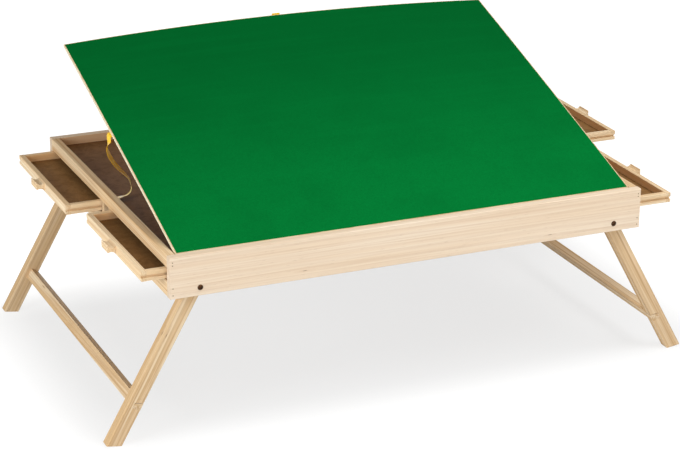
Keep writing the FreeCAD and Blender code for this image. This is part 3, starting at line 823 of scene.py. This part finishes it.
def cuppedSheet(node, edgeRound):
    # one layer of the lid, cut to the size of its node
    low, high = closedBox(node)
    axis = Vector((lid["middle"], hinge.y, hinge.z))
    values = {"Size": tuple(high - low), "Centre": tuple((low + high) / 2),
              "Hinge": tuple(axis), "Columns": lid["columns"], "Rows": lid["rows"],
              "Crown": lid["crown"], "Half": lid["half"], "Reach": lid["reach"],
              "Tilt": lid["tilt"]}
    mesh = welded(grown(cupped, node, bpy.data.meshes.new(pieceName(node)), values))
    rim = [edge for edge in mesh.edges if edge.calc_face_angle() > board["sharp"]]
    edgeLayer = mesh.faces.layers.float.new("edge")
    upright = toRest.to_3x3() @ Vector((0, 0, 1))
    for face in mesh.faces:
        face[edgeLayer] = float(abs(face.normal.dot(upright)) < board["upright"])
    bevelled(mesh, rim, edgeRound)
    return finishPiece(solidFrom(mesh, node), node)


lidBoard = cuppedSheet("lid_board", lid["edgeRound"])
lidFelt = cuppedSheet("lid_felt", lid["feltRound"])
feltLow, feltHigh = closedBox("lid_felt")
print("lid cupped")


def centres(node):
    # the middle of each loose piece of a node
    mesh = welded(nodes[node].data)
    found = []
    for island in islands(mesh):
        points = [point.co.copy() for point in island]
        found.append(sum(points, Vector()) / len(points))
    mesh.free()
    return found


fastenerMesh = {"headSides": 40, "domeRings": 48, "shankSides": 28}


def boolean(operation, first, second):
    # only a difference has a socket for each mesh; the others take both in one
    made = first.node("GeometryNodeMeshBoolean", {"operation": operation, "solver": "EXACT"})
    labels = ("Mesh 1", "Mesh 2") if operation == "DIFFERENCE" else ("Mesh 2", "Mesh 2")
    for wire, label in zip((first, second), labels):
        first.tree.links.new(wire.socket, made.socket.node.inputs[label])
    return made


def fastenerTree():
    # a domed head with a cross recess on a round shank, set on every point
    tree, wires = startTree("fastener", {
        "Head Radius": "Float", "Dome": "Float", "Rim": "Float", "Shank Radius": "Float",
        "Length": "Float", "Recess Span": "Float", "Recess Width": "Float",
        "Recess Depth": "Float", "Seed": "Int"})
    start = wires["Geometry"]
    radius, dome, rim = wires["Head Radius"], wires["Dome"], wires["Rim"]
    ball = (radius * radius + dome * dome) / (dome * 2.0)
    sphere = start.node("GeometryNodeMeshUVSphere", {}, {
        "Segments": fastenerMesh["headSides"], "Rings": fastenerMesh["domeRings"],
        "Radius": ball})
    sphere = moved(sphere, Translation=start.vector(z=rim + dome - ball))
    head = start.node("GeometryNodeMeshCylinder", {"fill_type": "NGON"},
                      {"Vertices": fastenerMesh["headSides"], "Radius": radius,
                       "Depth": (rim + dome) * 2.0})
    head = boolean("INTERSECT", head, sphere)
    floor = start.node("GeometryNodeMeshCube", {},
                       {"Size": start.vector(radius * 3.0, radius * 3.0, ball * 2.0)})
    head = boolean("DIFFERENCE", head, moved(floor, Translation=start.vector(z=0.0 - ball)))
    span, width, depth = wires["Recess Span"], wires["Recess Width"], wires["Recess Depth"]
    for x, y in ((span, width), (width, span)):
        slot = start.node("GeometryNodeMeshCube", {},
                          {"Size": start.vector(x, y, depth * 2.0)})
        slot = moved(slot, Translation=start.vector(z=rim + dome))
        head = boolean("DIFFERENCE", head, slot)
    shank = start.node("GeometryNodeMeshCylinder", {"fill_type": "NGON"},
                       {"Vertices": fastenerMesh["shankSides"],
                        "Radius": wires["Shank Radius"], "Depth": wires["Length"]})
    sink = start.vector(z=wires["Length"] * -0.5 + rim * 0.5)
    whole = boolean("UNION", head, moved(shank, Translation=sink))
    facing = start.node("FunctionNodeAlignRotationToVector", {"axis": "Z"},
                        {"Vector": given(start, "outward")})
    spin = start.node("FunctionNodeRandomValue", {"data_type": "FLOAT"},
                      {2: 0.0, 3: math.pi, "Seed": wires["Seed"]}, 1)
    own = start.node("FunctionNodeEulerToRotation", {}, {"Euler": start.vector(z=spin)})
    facing = start.node("FunctionNodeRotateRotation", {"rotation_space": "LOCAL"},
                        {"Rotation": facing, "Rotate By": own})
    points = start.node("GeometryNodeMeshToPoints", {}, {"Mesh": start})
    endTree(wires, start.node("GeometryNodeInstanceOnPoints", {},
                              {"Points": points, "Instance": whole, "Rotation": facing}))
    return tree


fastener = fastenerTree()
pivotScrew = {"Head Radius": 4.7 * mm, "Dome": 2.0 * mm, "Rim": 0.4 * mm,
              "Shank Radius": 2.5 * mm, "Length": 39.5 * mm, "Recess Span": 5.6 * mm,
              "Recess Width": 1.3 * mm, "Recess Depth": 1.6 * mm, "Seed": 4}
hingeScrew = {"Head Radius": 2.0 * mm, "Dome": 0.45 * mm, "Rim": 0.1 * mm,
              "Shank Radius": 1.1 * mm, "Length": 7.9 * mm, "Recess Span": 2.2 * mm,
              "Recess Width": 0.5 * mm, "Recess Depth": 0.5 * mm, "Seed": 7}
lidScrew = dict(hingeScrew, Length=3.5 * mm, Seed=9)
nail = {"Head Radius": 1.05 * mm, "Dome": 0.12 * mm, "Rim": 0.02 * mm,
        "Shank Radius": 0.8 * mm, "Length": 31.8 * mm, "Recess Span": 0.5 * mm,
        "Recess Width": 0.3 * mm, "Recess Depth": 0.05 * mm, "Seed": 2}


def setFasteners(node, look, spots):
    mesh = welded(grown(fastener, node, pointMesh(node, "outward", spots), look))
    finishPiece(solidFrom(mesh, node), node)


def onApron(node, lowNode, highNode):
    # each fastener's place, moved out to the face of the front or rear apron
    front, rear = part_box(lowNode)[0].y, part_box(highNode)[1].y
    for spot in centres(node):
        row = 1 if spot.y > 0 else -1
        yield Vector((spot.x, rear if row > 0 else front, spot.z)), Vector((0, row, 0))


for node, look in (("leg_pivot_screws", pivotScrew), ("case_nails", nail)):
    setFasteners(node, look, list(onApron(node, "front_apron", "rear_apron")))
hingeLeaf = {"thickness": 1.2 * mm}
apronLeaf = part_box("front_apron")[1].y + hingeLeaf["thickness"]
setFasteners("hinge_apron_screws", hingeScrew,
             [(Vector((spot.x, apronLeaf, spot.z)), Vector((0, 1, 0)))
              for spot in centres("hinge_apron_screws")])
leafDown = toRest.to_3x3() @ Vector((0, 0, -1))
leafLow = boardLow.z - hingeLeaf["thickness"]
lidSpots = []
for spot in centres("hinge_lid_screws"):
    spot = toClosed @ spot
    spot.z = leafLow
    lidSpots.append((toRest @ spot, leafDown))
setFasteners("hinge_lid_screws", lidScrew, lidSpots)
print("nails and screws set")


strapMesh = {"samples": 200, "across": 9, "weld": 0.002 * mm}


def strapTree():
    # a flat strap of even width that follows a line of points; each point says which way
    # the strap's width lies there
    tree, wires = startTree("strap", {"Width": "Float", "Thickness": "Float", "Steps": "Int"})
    start = wires["Geometry"]
    curve = start.node("GeometryNodeMeshToCurve", {}, {"Mesh": start})
    curve = start.node("GeometryNodeCurveSplineType", {"spline_type": "CATMULL_ROM"},
                       {"Curve": curve})
    curve = start.node("GeometryNodeResampleCurve", {},
                       {"Curve": curve, "Count": strapMesh["samples"]})
    length = start.node("GeometryNodeCurveLength", {}, {"Curve": curve})
    grid = start.node("GeometryNodeMeshGrid", {}, {"Size X": 1.0, "Size Y": 1.0,
                                                   "Vertices X": wires["Steps"],
                                                   "Vertices Y": strapMesh["across"]})
    flat = start.node("GeometryNodeInputPosition").split()
    share, side = flat[0] + 0.5, flat[1] * wires["Width"]
    grid = stored(grid, "weave", start.vector(share * length, side))
    sample = start.node("GeometryNodeSampleCurve", {"data_type": "FLOAT_VECTOR",
                                                    "mode": "FACTOR"},
                        {"Curves": curve, "Value": given(start, "across"), "Factor": share})
    toSide = start.node("ShaderNodeVectorMath", {"operation": "NORMALIZE"}, {0: sample})
    toSide = start.node("ShaderNodeVectorMath", {"operation": "SCALE"},
                        {0: toSide, "Scale": side})
    place = start.node("ShaderNodeVectorMath", {"operation": "ADD"},
                       {0: sample.other("Position"), 1: toSide})
    face = start.node("GeometryNodeSetPosition", {}, {"Geometry": grid, "Position": place})
    thick = start.node("GeometryNodeExtrudeMesh", {"mode": "FACES"},
                       {"Mesh": face, "Offset Scale": wires["Thickness"], "Individual": False})
    under = start.node("GeometryNodeFlipFaces", {}, {"Mesh": face})
    joined = start.tree.nodes.new("GeometryNodeJoinGeometry")
    for wire in (under, thick):
        start.tree.links.new(wire.socket, joined.inputs[0])
    whole = start.node("GeometryNodeMergeByDistance", {},
                       {"Geometry": Wire(start.tree, joined.outputs[0]),
                        "Distance": strapMesh["weld"]})
    endTree(wires, whole)
    return tree


def strap(node, look, route):
    # route is a list of places, each with the direction of the strap's width
    line = pointMesh(node, "across", route, [(i, i + 1) for i in range(len(route) - 1)])
    mesh = bmesh.new()
    mesh.from_mesh(grown(strapShape, node, line, {
        "Width": look["width"], "Thickness": look["thickness"], "Steps": look["steps"]}))
    bmesh.ops.recalc_face_normals(mesh, faces=mesh.faces)
    return solidFrom(mesh, node)


strapShape = strapTree()

# The check ribbon is pinned under the lid's left edge and at the foot of the left rail.
# Points are in millimetres: in from the rail, back along the case from the ribbon's own
# place, and up from the tray floor, or for the first two from the lid's underside there.
checkRibbon = {
    "width": 14.5 * mm,
    "thickness": 0.35 * mm,
    "steps": 90,
    "fromHinge": 322.0 * mm,
    "underLid": [((13.0, 8.0, 2.6), (0.0, -0.95, -0.32)),
                 ((5.0, 8.0, 2.6), (0.0, -0.95, -0.32))],
    "hanging": [((-1.4, 7.8, 113.6), (0.05, -0.96, -0.28)),
                ((-2.8, 6.6, 107.8), (0.17, -0.97, -0.15)),
                ((-3.2, 4.6, 103.2), (0.07, -0.99, 0.09)),
                ((-6.4, 2.6, 98.2), (-0.28, -0.92, 0.27)),
                ((-7.9, 1.0, 92.4), (-0.47, -0.83, 0.29)),
                ((-5.0, 0.0, 81.8), (-0.64, -0.75, 0.17)),
                ((1.8, 0.0, 68.7), (-0.69, -0.71, 0.13)),
                ((11.2, 0.0, 56.0), (-0.67, -0.72, 0.13)),
                ((21.4, 0.0, 44.4), (-0.58, -0.79, 0.19)),
                ((28.8, 0.0, 34.4), (-0.44, -0.85, 0.28)),
                ((31.8, 0.0, 22.8), (-0.30, -0.89, 0.34)),
                ((30.7, 0.0, 13.5), (-0.22, -0.93, 0.31)),
                ((24.8, 0.0, 7.6), (-0.15, -0.95, 0.27)),
                ((16.8, 0.0, 5.6), (-0.16, -0.96, 0.22)),
                ((8.4, 0.0, 4.4), (-0.10, -0.99, 0.10)),
                ((2.0, 0.0, 3.6), (0.0, -1.0, 0.0))],
}


def checkRibbonRoute():
    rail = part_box("left_top_rail")[1].x
    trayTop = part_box("tray_floor")[1].z
    closed = Vector((rail, hinge.y + checkRibbon["fromHinge"], boardLow.z))
    closed.z += lift(closed.x, closed.y)
    pinned = toRest @ closed
    route = [(pinned + Vector(place) * mm, Vector(across))
             for place, across in checkRibbon["underLid"]]
    route += [(Vector((rail, pinned.y, trayTop)) + Vector(place) * mm, Vector(across))
              for place, across in checkRibbon["hanging"]]
    return route, pinned, trayTop


route, pinned, trayTop = checkRibbonRoute()
ribbon = strap("check_ribbon", checkRibbon, route)
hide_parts("check_ribbon")
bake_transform(ribbon)

# The pull tab is tucked under the rear edge and folded back on itself above it.
pullTab = {"width": 15.0 * mm, "thickness": 0.35 * mm, "steps": 60, "tuck": 10.0 * mm,
           "clear": 0.5 * mm, "above": 2.2 * mm, "fold": 1.2 * mm}


def pullTabRoute():
    low, high = closedBox("lid_pull_tab")
    x = (low.x + high.x) / 2
    rear, under = boardHigh.y, boardLow.z - pullTab["clear"]
    top = feltHigh.z + pullTab["above"]
    behind = rear + pullTab["clear"]
    corners = [(rear - pullTab["tuck"], under), (rear - pullTab["tuck"] / 2, under),
               (rear - pullTab["clear"], under), (behind, under + pullTab["fold"]),
               (behind, feltHigh.z), (behind, top - pullTab["fold"] / 2),
               (behind + pullTab["fold"] / 2, top),
               (behind + pullTab["fold"], top - pullTab["fold"] / 2),
               (behind + pullTab["fold"], feltHigh.z),
               (behind + pullTab["fold"] / 2, under + pullTab["fold"])]
    for y, z in corners:
        yield toRest @ Vector((x, y, z + lift(x, rear))), Vector((1, 0, 0))


finishPiece(strap("lid_pull_tab", pullTab, list(pullTabRoute())), "lid_pull_tab")
print("ribbons laid")


# metal parts that keep their own shape
for node in ("leg_pivot_nuts", "hinge_apron_leaves", "hinge_lid_leaves", "hinge_pins",
             "prop_pins", "prop_foot_rod"):
    nodes[node].data.materials.clear()
    nodes[node].data.materials.append(materials[slotOf[node]])


room = {"size": 60.0, "floorColour": (0.78, 0.80, 0.82), "seenColour": (0.17, 0.174, 0.178),
        "glow": 0.74, "sweepGlow": 1.0, "plan": (0.49, 0.24), "fade": 0.20,
        "sky": (0.325, 0.300, 0.262)}
lamps = {
    "key": {"from": (0.8, -1.0, 2.0), "to": (0.0, 0.0, 0.3), "size": 1.2, "power": 27.5,
            "colour": (1.0, 1.0, 1.0)},
    "front": {"from": (-0.2, -2.6, 1.0), "to": (0.0, 0.0, 0.25), "size": 1.4, "power": 12.0,
              "colour": (1.0, 0.99, 0.97)},
    "left": {"from": (-2.75, -0.9, 0.9), "to": (0.0, 0.0, 0.2), "size": 1.4, "power": 48.0,
             "colour": (0.93, 0.97, 1.0)},
    "rear": {"from": (0.4, 2.6, 0.28), "to": (0.0, 0.0, 0.26), "size": 0.5, "power": 11.0,
             "colour": (1.0, 1.0, 1.0)},
}
camera = {"at": (-1.511995, -3.392818, 1.595532), "azimuth": 23.706, "elevation": 20.735,
          "roll": 0.468, "lens": 118.715, "sensor": 36.0}


def seenDirectly(start):
    # 1 for the rays that look at a background, 0 for those that light the object
    path = start.node("ShaderNodeLightPath", output="Is Camera Ray")
    rays = start.maths("MAXIMUM", path, path.other("Is Glossy Ray"))
    return start.maths("MAXIMUM", rays, path.other("Is Transmission Ray"))


def makeFloor():
    material, start = startMaterial("paleFloor")
    seen = seenDirectly(start)
    colour = mixed(seen, (*room["floorColour"], 1.0), (*room["seenColour"], 1.0))
    diffuse = start.node("ShaderNodeBsdfDiffuse", {}, {"Color": colour})
    # the floor glows less under the case's plan: a painted shadow in the case's shape, on top
    # of the real shadow that the diffuse part keeps
    place = start.node("ShaderNodeTexCoord", output="Object").split()
    beside = [start.maths("MAXIMUM", start.maths("ABSOLUTE", axis) - half, 0.0)
              for axis, half in zip(place, room["plan"])]
    away = (beside[0] * beside[0] + beside[1] * beside[1]) ** 0.5
    strength = away.ease(0.0, room["fade"], room["glow"], room["sweepGlow"])
    glow = start.node("ShaderNodeEmission", {}, {"Strength": seen * strength})
    both = start.node("ShaderNodeAddShader", {}, {0: diffuse, 1: glow})
    start.node("ShaderNodeOutputMaterial", {}, {"Surface": both})
    half = room["size"] / 2
    data = bpy.data.meshes.new("floor")
    data.from_pydata([(-half, -half, 0), (half, -half, 0), (half, half, 0), (-half, half, 0)],
                     [], [(0, 1, 2, 3)])
    data.materials.append(material)
    floor = added("floor", data)


def makeWorld():
    world = bpy.data.worlds.new("room")
    scene.world = world
    world.use_nodes = True
    world.node_tree.nodes.clear()
    start = Wire(world.node_tree)
    sky = start.node("ShaderNodeBackground", {}, {"Color": (*room["sky"], 1.0)})
    white = start.node("ShaderNodeBackground", {}, {"Color": (1.0, 1.0, 1.0, 1.0)})
    both = start.node("ShaderNodeMixShader", {}, {0: seenDirectly(start), 1: sky, 2: white})
    start.node("ShaderNodeOutputWorld", {}, {"Surface": both})


def makeLamps():
    for name, look in lamps.items():
        data = bpy.data.lights.new(name, "AREA")
        data.shape, data.size, data.energy = "SQUARE", look["size"], look["power"]
        data.color = look["colour"]
        lamp = added(name, data)
        lamp.location = look["from"]
        aim = Vector(look["to"]) - Vector(look["from"])
        lamp.rotation_euler = aim.to_track_quat("-Z", "Y").to_euler()
        lamp.visible_camera = False


def makeCamera():
    data = bpy.data.cameras.new("camera")
    data.lens, data.sensor_width = camera["lens"], camera["sensor"]
    around, down = math.radians(camera["azimuth"]), math.radians(camera["elevation"])
    forward = Vector((math.sin(around) * math.cos(down), math.cos(around) * math.cos(down),
                      -math.sin(down)))
    side = forward.cross(Vector((0, 0, 1))).normalized()
    upright = Matrix((side, side.cross(forward), -forward)).transposed()
    roll = Matrix.Rotation(math.radians(camera["roll"]), 3, "Z")
    made = added("camera", data)
    made.matrix_world = Matrix.Translation(camera["at"]) @ (upright @ roll).to_4x4()
    scene.camera = made


makeFloor()
makeWorld()
makeLamps()
makeCamera()
scene.view_settings.view_transform = "Standard"
print("room lit")
